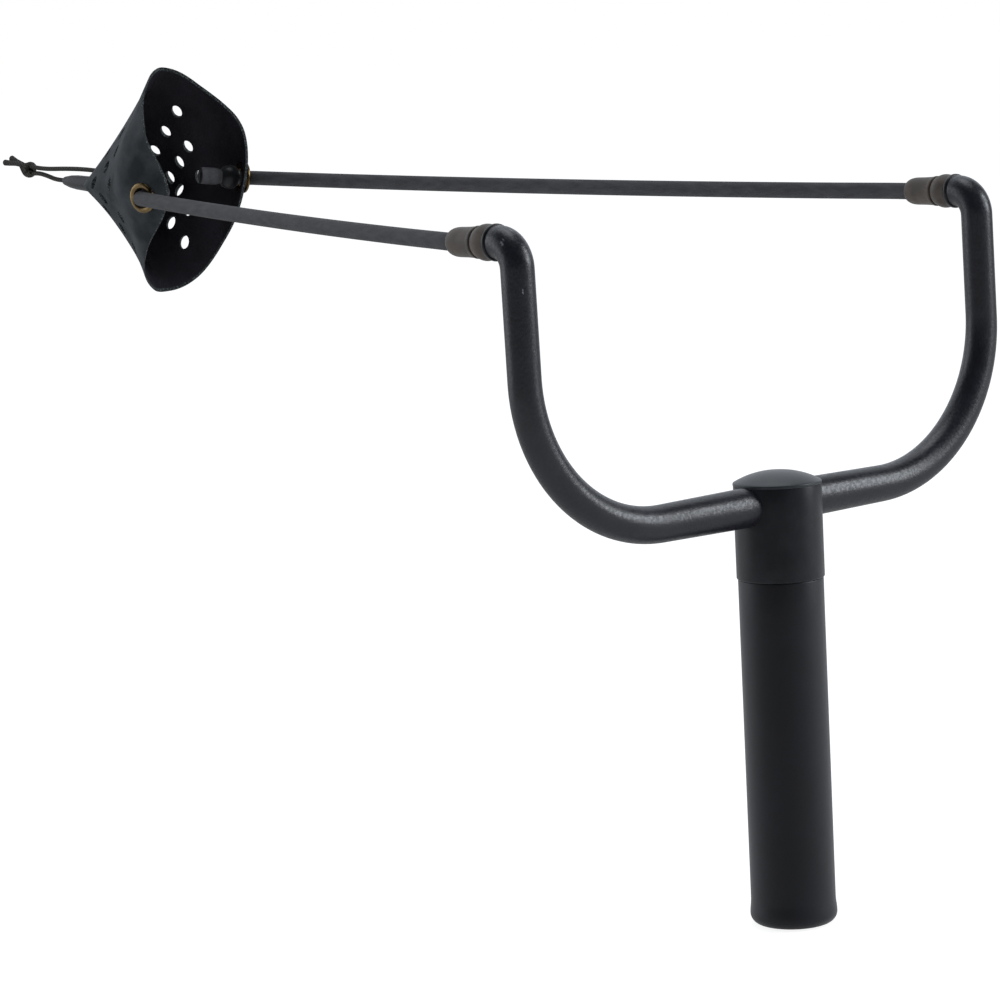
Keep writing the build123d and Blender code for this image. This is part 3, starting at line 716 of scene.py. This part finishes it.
def swivel():
    back, low, high, radius = bell["back"], bell["backRound"], bell["frontRound"], bell["radius"]
    spigot, bore, groove, end = bell["spigot"], bell["bore"], bell["groove"], bell["grooveEnd"]
    outline = [(spigot, bell["spigotBack"]), (spigot, back)] + arc((radius - low, back + low), low, -90, 0, 4)
    for step in range(1, 13):
        share = step / 12
        swell = bell["swell"] * math.sin(math.pi * share ** bell["lean"])
        outline.append((radius + swell - bell["taper"] * share, back + low + bell["length"] * share))
    front = back + low + bell["length"]
    outline += arc((radius - bell["taper"] - high, front), high, 0, 90, 4)
    outline += [(groove, front + high), (groove, end), (spigot, end), (spigot, bell["spigotFront"])]
    outline += [(bore, bell["spigotFront"]), (bore, bell["spigotBack"])]
    return turnPiece(outline, 96)


# The waist's stations are (radius over the sleeve's, distance from its start)
sleeve = {
    "start": 8.3, "end": 20.8, "radius": 4.45, "flare": 0.22, "rim": 0.18, "rimWidth": 0.8,
    "waist": ((0.22, 1.1), (0.17, 2.0), (0.04, 5.0)), "shoulder": 4.1, "fullness": 2.2, "mouth": 3.25,
    "bore": 3.2, "throat": 2.8, "throatLength": 2.8,
}


def elasticSleeve():
    start, end, radius, mouth = (sleeve[key] for key in ("start", "end", "radius", "mouth"))
    rim, shoulder, bore, throat = (sleeve[key] for key in ("rim", "shoulder", "bore", "throat"))
    wide = radius + sleeve["flare"]
    outline = [(bore, start), (wide, start)] + arc((wide, start + rim), rim, -90, 0, 3)
    outline += [(wide + rim, start + sleeve["rimWidth"])]
    outline += [(radius + over, start + along) for over, along in sleeve["waist"]]
    outline += [(radius, end - shoulder)]
    for step in range(1, 11):
        share = step / 10
        bulge = (radius - mouth) * math.sqrt(1 - share ** sleeve["fullness"])
        outline.append((mouth + bulge, end - shoulder * (1 - share)))
    inner = end - sleeve["throatLength"]
    outline += [(throat, end), (throat, inner), (bore, inner - 0.8)]
    return turnPiece(outline, 96)


twins(endBush, "end_bush_flange", [bushNylon], "frame", "end_bush", 35, tipPlace)
twins(swivel, "swivel_collar", [swivelNylon], "{}_connector", "swivel", 35, tipPlace)
twins(
    elasticSleeve, "elastic_sleeve_shell", [swivelNylon], "{}_connector", "elastic_sleeve",
    35, tipPlace,
)
print("tube ends made")


# ---- pouch

# The rim's right half from the top fold to the bottom fold: (half width, depth, height) in the pouch's frame
rimStations = (
    (0, 55.0, 45.8), (3.9, 56.4, 45.0), (6.7, 58.0, 43.6), (9.6, 60.0, 41.3), (12.5, 62.1, 38.5),
    (15.4, 65.0, 35.4), (18.6, 69.4, 31.1), (21.1, 73.5, 26.4), (22.2, 76.0, 22.0), (21.8, 78.3, 17.9),
    (20.0, 81.4, 10.8), (18.3, 82.7, 4.7), (17.5, 82.1, 0.3), (17.35, 80.2, -4.2), (17.45, 77.5, -8.5),
    (17.8, 73.7, -13.2), (17.9, 69.5, -17.6), (17.35, 65.8, -21.8), (16.1, 61.8, -26.9), (14.6, 59.1, -30.6),
    (12.5, 57.1, -33.7), (10.4, 55.6, -35.8), (8.0, 54.0, -37.6), (4.7, 51.9, -39.2), (0, 50.0, -39.9),
)
# Widths are (depth, half width) on the axis; slant is the wall's thickness measured upwards, over the sheet's
pouch = {
    "depth": 84.7, "noseCut": 2.6, "cavityStart": 5.2, "rows": 60, "columns": 200, "crowd": 0.6,
    "edge": 1.0, "edgeStart": 0.85, "slant": 1.3,
    "widths": ((0, 0), (12, 10.5), (31, 18.6), (48, 21.3), (64, 26.0), (76, 22.1), (90, 13.9)),
    "bluntness": (1.2, -0.82), "crease": 0.06, "fullness": 0.35, "ventDiameter": 4.7,
    "ventShape": (1.12, 0.9), "drillLength": 9.6, "eyeletRoom": 0.5, "cordHole": 2.2, "cordDrill": 22.0,
}
# vents of one wall: (depth, height); the other wall has the same
vents = (
    (31.4, 13.3), (41.0, 21.0), (49.6, 28.9), (31.4, 2.5), (39.8, 8.7), (46.6, 15.0), (47.6, 2.8),
    (37.6, -3.4), (46.6, -10.2), (32.0, -8.4), (40.0, -15.2), (48.3, -22.1),
)


def throughPoints(closed, count, crowd):
    # points of a smooth closed curve through the given ones; crowd gathers them at its start and middle
    knots = [0.0]
    for i in range(len(closed)):
        knots.append(knots[-1] + (closed[(i + 1) % len(closed)] - closed[i]).length)
    total = knots[-1]

    def tangent(i):
        before, after = closed[i - 1], closed[(i + 1) % len(closed)]
        here = closed[i % len(closed)]
        one, two = (here - before).length, (after - here).length
        return ((here - before) * two / one + (after - here) * one / two) / (one + two)

    result = []
    for step in range(count):
        share = step / count
        place = total * (share - crowd * math.sin(4 * math.pi * share) / (4 * math.pi))
        at = max(i for i in range(len(closed)) if knots[i] <= place + 1e-9)
        span = knots[at + 1] - knots[at]
        t = (place - knots[at]) / span
        result.append(
            closed[at] * (2 * t**3 - 3 * t**2 + 1) + tangent(at) * span * (t**3 - 2 * t**2 + t)
            + closed[(at + 1) % len(closed)] * (3 * t**2 - 2 * t**3)
            + tangent((at + 1) % len(closed)) * span * (t**3 - t**2)
        )
    return result


rimLoop = throughPoints(
    [Vector(p) for p in rimStations] + [Vector((-x, y, z)) for x, y, z in reversed(rimStations[1:-1])],
    pouch["columns"], pouch["crowd"],
)
foldSlopes = (rimStations[0][2] / rimStations[0][1], -rimStations[-1][2] / rimStations[-1][1])


def naturalSpline(points):
    # second derivatives of the natural cubic spline
    count = len(points)
    bends, low = [0.0] * count, [0.0] * count
    for i in range(1, count - 1):
        (x0, y0), (x1, y1), (x2, y2) = points[i - 1], points[i], points[i + 1]
        weight = (x1 - x0) / (x2 - x0)
        pivot = weight * bends[i - 1] + 2
        bends[i] = (weight - 1) / pivot
        turn = (y2 - y1) / (x2 - x1) - (y1 - y0) / (x1 - x0)
        low[i] = (6 * turn / (x2 - x0) - weight * low[i - 1]) / pivot
    for i in range(count - 2, -1, -1):
        bends[i] = bends[i] * bends[i + 1] + low[i]
    bends[0] = 0.0
    return bends


widthBends = naturalSpline(pouch["widths"])


def axisHalfWidth(depth):
    # half the pouch's width on its axis
    points = pouch["widths"]
    depth = min(max(depth, 0.0), points[-1][0])
    at = max(i for i in range(len(points) - 1) if points[i][0] <= depth + 1e-9)
    (x0, y0), (x1, y1) = points[at], points[at + 1]
    span = x1 - x0
    a, b = (x1 - depth) / span, (depth - x0) / span
    return a * y0 + b * y1 + ((a**3 - a) * widthBends[at] + (b**3 - b) * widthBends[at + 1]) * span**2 / 6


def bodyWidth(depth, height, wall=0.0):
    # the pouch's plain body, before its rim bends it
    slope = foldSlopes[0] if height >= 0 else foldSlopes[1]
    limit = depth * slope - wall * pouch["slant"]
    crease = pouch["crease"]
    share = (math.hypot(height / limit, crease) - crease) / (math.hypot(1, crease) - crease)
    along = depth / pouch["depth"]
    power = pouch["bluntness"][0] + pouch["bluntness"][1] * along
    lean = axisHalfWidth(depth + 0.5) - axisHalfWidth(depth - 0.5)
    width = axisHalfWidth(depth) - wall * math.hypot(1, lean)
    return width * (1 - min(share, 1.0)) ** power * (1 + pouch["fullness"] * along * height / limit)


def rimBend(rim, along):
    # how far the rim draws the wall in or out, fading towards the apex
    fade = min(along, 1.0) ** 3
    return (abs(rim.x) - bodyWidth(rim.y, rim.z)) * fade


def rimAt(depth, height):
    # the rim's point on the line from the apex through this point of the side view
    half = rimLoop[:pouch["columns"] // 2 + 1]
    angle = height / depth
    for one, two in zip(half, half[1:]):
        a, b = one.z / one.y - angle, two.z / two.y - angle
        if a >= 0 >= b and a != b:
            return one.lerp(two, a / (a - b))
    return half[0] if angle > 0 else half[-1]


def halfWidth(depth, height):
    rim = rimAt(depth, height)
    return bodyWidth(depth, height) + rimBend(rim, depth / rim.y)


def pouchSheet():
    rows, count = pouch["rows"], pouch["columns"]
    mesh = bpy.data.meshes.new("pouch")
    built = bmesh.new()

    def skin(start, inside):
        grid = []
        for row in range(rows + 1):
            line = []
            for rim in rimLoop:
                depth = start + (rim.y - start) * row / rows
                along = depth / rim.y
                # the sheet thins towards its cut edge
                thin = max(0.0, along - pouch["edgeStart"]) / (1 - pouch["edgeStart"])
                wall = inside * (sheetThickness + (pouch["edge"] - sheetThickness) * thin)
                slope = foldSlopes[0] if rim.z >= 0 else foldSlopes[1]
                shrink = 1 - wall * pouch["slant"] / (depth * slope)
                height = rim.z / rim.y * depth * shrink
                width = max(bodyWidth(depth, height, wall) + rimBend(rim, along), 0.0)
                side = (rim.x > 1e-6) - (rim.x < -1e-6)
                line.append(built.verts.new(Vector((side * width, depth, height))))
            grid.append(line)
        return grid

    outer, inner = skin(pouch["noseCut"], 0), skin(pouch["cavityStart"], 1)
    for grid, flip, slot in ((outer, False, 0), (inner, True, 1)):
        for row in range(rows):
            for i in range(count):
                j = (i + 1) % count
                corners = [grid[row][i], grid[row][j], grid[row + 1][j], grid[row + 1][i]]
                face = built.faces.new(corners[::-1] if flip else corners)
                face.material_index = slot
    for i in range(count):
        j = (i + 1) % count
        face = built.faces.new([outer[rows][i], outer[rows][j], inner[rows][j], inner[rows][i]])
        face.material_index = 2
    built.faces.new(outer[0][::-1]).material_index = 0
    built.faces.new(inner[0]).material_index = 1
    bmesh.ops.recalc_face_normals(built, faces=built.faces)
    built.to_mesh(mesh)
    built.free()
    piece = bpy.data.objects.new("pouch", mesh)
    bpy.context.scene.collection.objects.link(piece)
    return piece


def cutters():
    # one mesh of drills: vents, eyelet holes and the two cord holes, in the pouch's own frame
    selectOnly()
    drills = []

    def drill(place, direction, radius, length, tall=1.0, wide=1.0):
        bpy.ops.mesh.primitive_cylinder_add(vertices=28, radius=radius, depth=length)
        tool = bpy.context.object
        turn = direction.to_track_quat("Z", "X").to_matrix().to_4x4()
        tool.data.transform(Matrix.Translation(place) @ turn @ Matrix.Diagonal((tall, wide, 1, 1)))
        drills.append(tool)

    step = 0.5
    for depth, height in vents:
        along = halfWidth(depth + step, height) - halfWidth(depth - step, height)
        across = halfWidth(depth, height + step) - halfWidth(depth, height - step)
        for side in (1, -1):
            place = Vector((side * halfWidth(depth, height), depth, height))
            outward = Vector((side, -along, -across))
            drill(place, outward, pouch["ventDiameter"] / 2, pouch["drillLength"], *pouch["ventShape"])
    back = pouchPlace.inverted()
    for side in (1, -1):
        there = back @ eyeletPlace(side)
        barrel = eyelet["bore"] / 2 + pouch["eyeletRoom"]
        drill(there.translation, there.to_3x3() @ Vector((0, 0, 1)), barrel, pouch["drillLength"])
    for height in (pullCord["upper"][0][1], pullCord["lower"][-1][1]):
        drill(Vector((0, 0, height)), Vector((0, 1, 0)), pouch["cordHole"] / 2, pouch["cordDrill"])
    return join(drills)


def makePouch():
    piece = pouchSheet()
    tool = cutters()
    for material in (pouchOutside, pouchInside, pouchEdge):
        piece.data.materials.append(material)
    tool.data.materials.clear()
    tool.data.materials.append(pouchEdge)
    selectOnly(piece)
    cut = piece.modifiers.new("vents", "BOOLEAN")
    cut.object = tool
    cut.operation = "DIFFERENCE"
    cut.solver = "EXACT"
    cut.material_mode = "TRANSFER"
    bpy.ops.object.modifier_apply(modifier="vents")
    bpy.data.objects.remove(tool)
    place = pouchPlace.copy()
    place.translation *= mm
    piece.data.transform(place @ Matrix.Scale(mm, 4))
    return finishPiece(piece, "pouch_leather", None, "pouch", ["pouch_sheet"], 38)


pouchPiece = makePouch()


# ---- eyelets

ring = {"rise": 0.9, "roundness": 0.8, "lift": 0.03, "wall": 0.45, "barrel": 0.5}


def eyeletRing():
    # rolled flange: a smooth round from the bore out to its rim
    bore, edge, face = eyelet["bore"] / 2, eyelet["diameter"] / 2, sheetThickness / 2
    middle, reach, seat = (bore + edge) / 2, (edge - bore) / 2, face + ring["lift"]
    outer, end = bore + ring["wall"], -face - ring["barrel"]
    outline = [(bore, end), (bore, face)]
    for step in range(0, 17):
        turn = math.pi * (1 - step / 16)
        rise = ring["rise"] * math.sin(turn) ** ring["roundness"]
        outline.append((middle + reach * math.cos(turn), seat + rise))
    outline += [(outer, seat), (outer, end)]
    return turnPiece(outline, 96)


washer = {"bore": 3.75, "radius": 5.8, "thick": 0.5, "chamfer": 0.15}


def eyeletWasher():
    bore, radius, cut = washer["bore"], washer["radius"], washer["chamfer"]
    top = -sheetThickness / 2
    low = top - washer["thick"]
    return turnPiece([(bore, top), (bore, low), (radius - cut, low), (radius, low + cut), (radius, top)], 72)


# A drilled ball that bears on the washer: its bore cuts it at this angle from its middle
stopper = {"radius": 4.5, "middle": -5.1, "boreAngle": 50.7}


def stopperBead():
    angle = stopper["boreAngle"]
    return turnPiece(arc((0.0, stopper["middle"]), stopper["radius"], -angle, angle, 24), 72)


# The head of the plug that swells the elastic's end
plugHead = {"radius": 2.2, "chamfer": 0.3, "back": -0.6, "front": 0.05}


def tailPlug():
    radius, cut, back, front = (plugHead[key] for key in ("radius", "chamfer", "back", "front"))
    outline = [(0.0, back), (radius - cut, back), (radius, back + cut), (radius, front), (0.0, front)]
    return turnPiece(outline, 48, closed=False)


def tailPlace(side):
    return eyeletPlace(side) @ Matrix.Translation((0, 0, -eyelet["tails"][side]))


twins(eyeletRing, "eyelet_ring", [brass], "pouch", "eyelet", 40, eyeletPlace)
twins(eyeletWasher, "eyelet_washer_ring", [brass], "pouch", "eyelet_washer", 40, eyeletPlace)
twins(stopperBead, "stopper_ball", [beadPlastic], "pouch", "stopper_bead", 50, eyeletPlace)
twins(tailPlug, "tail_plug_head", [beadPlastic], "pouch", "tail_plug", 40, tailPlace)
print("eyelets made")


# ---- elastics

# The plugged tail's stations are (distance before its end, share of the diameter)
elasticRun = {
    "start": 12.0, "inside": 19.0, "exit": 2.2, "turn": 5.0, "sag": 0.9, "offset": 2.6, "bend": (3.5, 3.0),
    "plugged": ((6.3, 1.2), (0.6, 1.2), (0.0, 1.14)), "plain": 7.5, "stretchEnd": 8.0,
}


def elastic(side, name):
    tip, eye = tipPlace(side), eyeletPlace(side)
    mouth = tip @ Vector((0, 0, sleeve["end"] + elasticRun["exit"]))
    corner = eye @ Vector((0, 0, elasticRun["offset"]))
    tail = eye @ Vector((0, 0, -eyelet["tails"][side]))
    run, inward = corner - mouth, (tail - corner).normalized()
    ahead = run.normalized()
    points = [tip @ Vector((0, 0, elasticRun[key])) for key in ("start", "inside")]
    points += [mouth, mouth + ahead * elasticRun["turn"]]
    for step in range(1, 10):
        share = step / 10
        drop = 4 * share * (1 - share) * elasticRun["sag"]
        points.append(mouth + run * share - Vector((0, 0, drop)))
    before, after = elasticRun["bend"]
    points += [corner - ahead * before, corner, corner + inward * after, tail - inward * elasticRun["plain"]]
    widths = [1.0] * len(points) + [share for _, share in elasticRun["plugged"]]
    points += [tail - inward * back for back, _ in elasticRun["plugged"]]
    piece = toMesh(softCurve(f"{name}Elastic", points, elasticDiameter, widths=widths))
    finishPiece(piece, f"{name}_elastic_tube", [rubberTube], None, [f"{name}_elastic"], 50)
    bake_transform(piece)


for side, name in ends:
    elastic(side, name)
print("elastics made")


# ---- CAD nodes that stay

keptNodes = {
    "handle_core": headNylon, "saddle_washer": steel, "clamp_screw": steel, "screw_insert": brass,
    "cord_bight": cordBraid,
}
for name in ("right", "left"):
    keptNodes[f"{name}_retaining_clip"] = steel
for name, material in keptNodes.items():
    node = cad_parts[name]
    for materialSlot in node.material_slots:
        materialSlot.material = material


# ---- floor and light

# The paper glows for the camera and less in a piece's gloss; the walls give a dimmer, cool light
paper = {"glow": 1.25, "glossGlow": 0.4, "glowShare": 0.7}
walls = {"light": 0.6, "seen": 1.0, "tint": (0.88, 0.93, 1.0, 1.0)}


def paperWhite():
    material, tree, shader = startMaterial("floorPaperWhite")
    # plain white paper; for the camera it is nearly as bright as the backdrop, and keeps a soft shadow
    shader.inputs["Base Color"].default_value = colour("#f7f7f7")
    shader.inputs["Roughness"].default_value = 0.9
    shader.inputs["Specular IOR Level"].default_value = 0.0
    rays = addNode(tree, "ShaderNodeLightPath")
    strength = addNode(
        tree, "ShaderNodeMapRange", {"To Min": paper["glossGlow"], "To Max": paper["glow"]},
        {"Value": rays.outputs["Is Camera Ray"]},
    ).outputs["Result"]
    glow = addNode(tree, "ShaderNodeEmission", {"Color": (1, 1, 1, 1)}, {"Strength": strength})
    seen = maths(tree, "MAXIMUM", rays.outputs["Is Camera Ray"], rays.outputs["Is Glossy Ray"])
    share = addNode(tree, "ShaderNodeMath", {1: paper["glowShare"]}, {0: seen}, operation="MULTIPLY")
    share = share.outputs["Value"]
    mix = addNode(tree, "ShaderNodeMixShader", links={0: share, 1: shader.outputs[0], 2: glow.outputs[0]})
    tree.links.new(mix.outputs[0], tree.nodes["Material Output"].inputs["Surface"])
    return material


def studio():
    selectOnly()
    bpy.ops.mesh.primitive_plane_add(size=60, location=(0, 0, -0.0002))
    floor = bpy.context.object
    floor.name = "floor"
    floor.data.materials.append(paperWhite())

    world = bpy.data.worlds.new("studio")
    bpy.context.scene.world = world
    world.use_nodes = True
    tree = world.node_tree
    rays = addNode(tree, "ShaderNodeLightPath")
    seen = maths(tree, "MAXIMUM", rays.outputs["Is Camera Ray"], rays.outputs["Is Glossy Ray"])
    seen = maths(tree, "MAXIMUM", seen, rays.outputs["Is Transmission Ray"])
    power = addNode(
        tree, "ShaderNodeMapRange", {"To Min": walls["light"], "To Max": walls["seen"]}, {"Value": seen}
    )
    back = tree.nodes["Background"]
    tint = addNode(
        tree, "ShaderNodeMix", {"A": walls["tint"], "B": (1.0, 1.0, 1.0, 1.0)},
        {"Factor": rays.outputs["Is Camera Ray"]}, data_type="RGBA",
    )
    tree.links.new(tint.outputs["Result"], back.inputs["Color"])
    tree.links.new(power.outputs["Result"], back.inputs["Strength"])


# Its cut lies `back` metres behind the middle, seen from the camera, and is turned a little round Z
vault = {"radius": 2.6, "middle": (0, -0.15, 0.1), "back": 1.0, "turn": 14.0}


def blackFlag():
    # a black cloth vault round the front of the set; only reflections see it, the backdrop side stays white
    selectOnly()
    bpy.ops.mesh.primitive_uv_sphere_add(
        segments=48, ring_count=24, radius=vault["radius"], location=vault["middle"]
    )
    flag = bpy.context.object
    flag.name = "blackFlag"
    bpy.ops.object.mode_set(mode="EDIT")
    bpy.ops.mesh.select_all(action="SELECT")
    azimuth = math.radians(cameraView["azimuth"] + vault["turn"])
    front = Vector((math.sin(azimuth), -math.cos(azimuth), 0))
    cut = Vector(vault["middle"]) - front * vault["back"]
    bpy.ops.mesh.bisect(plane_co=cut, plane_no=-front, clear_outer=True)
    bpy.ops.object.mode_set(mode="OBJECT")
    material, tree, shader = startMaterial("clothBlack")
    shader.inputs["Base Color"].default_value = colour("#0a0a0a")
    shader.inputs["Roughness"].default_value = 1.0
    shader.inputs["Specular IOR Level"].default_value = 0.0
    flag.data.materials.append(material)
    flag.visible_camera = False
    flag.visible_diffuse = False
    flag.visible_transmission = False
    flag.visible_shadow = False


lampTint = (0.91, 0.95, 1.0)
lampAim = Vector((0, -0.15, 0.15))
softboxes = (
    {"name": "keyLight", "place": (-1.15, 0.95, 0.75), "size": (0.6, 1.1), "power": 17.0},
    {"name": "topLight", "place": (-0.2, -0.3, 1.7), "size": (0.9, 0.9), "power": 6.0},
    {"name": "fillLight", "place": (0.95, -1.1, 0.45), "size": (0.8, 1.1), "power": 3.5},
)


def addSoftboxes():
    for box in softboxes:
        bpy.ops.object.light_add(type="AREA", location=box["place"])
        lamp = bpy.context.object
        lamp.name = box["name"]
        lamp.data.shape = "RECTANGLE"
        lamp.data.size, lamp.data.size_y = box["size"]
        lamp.data.energy = box["power"]
        lamp.data.color = lampTint
        lamp.rotation_euler = (lampAim - Vector(box["place"])).to_track_quat("-Z", "Y").to_euler()


studio()
blackFlag()
addSoftboxes()
bpy.context.scene.view_settings.view_transform = "Standard"
print("studio made")
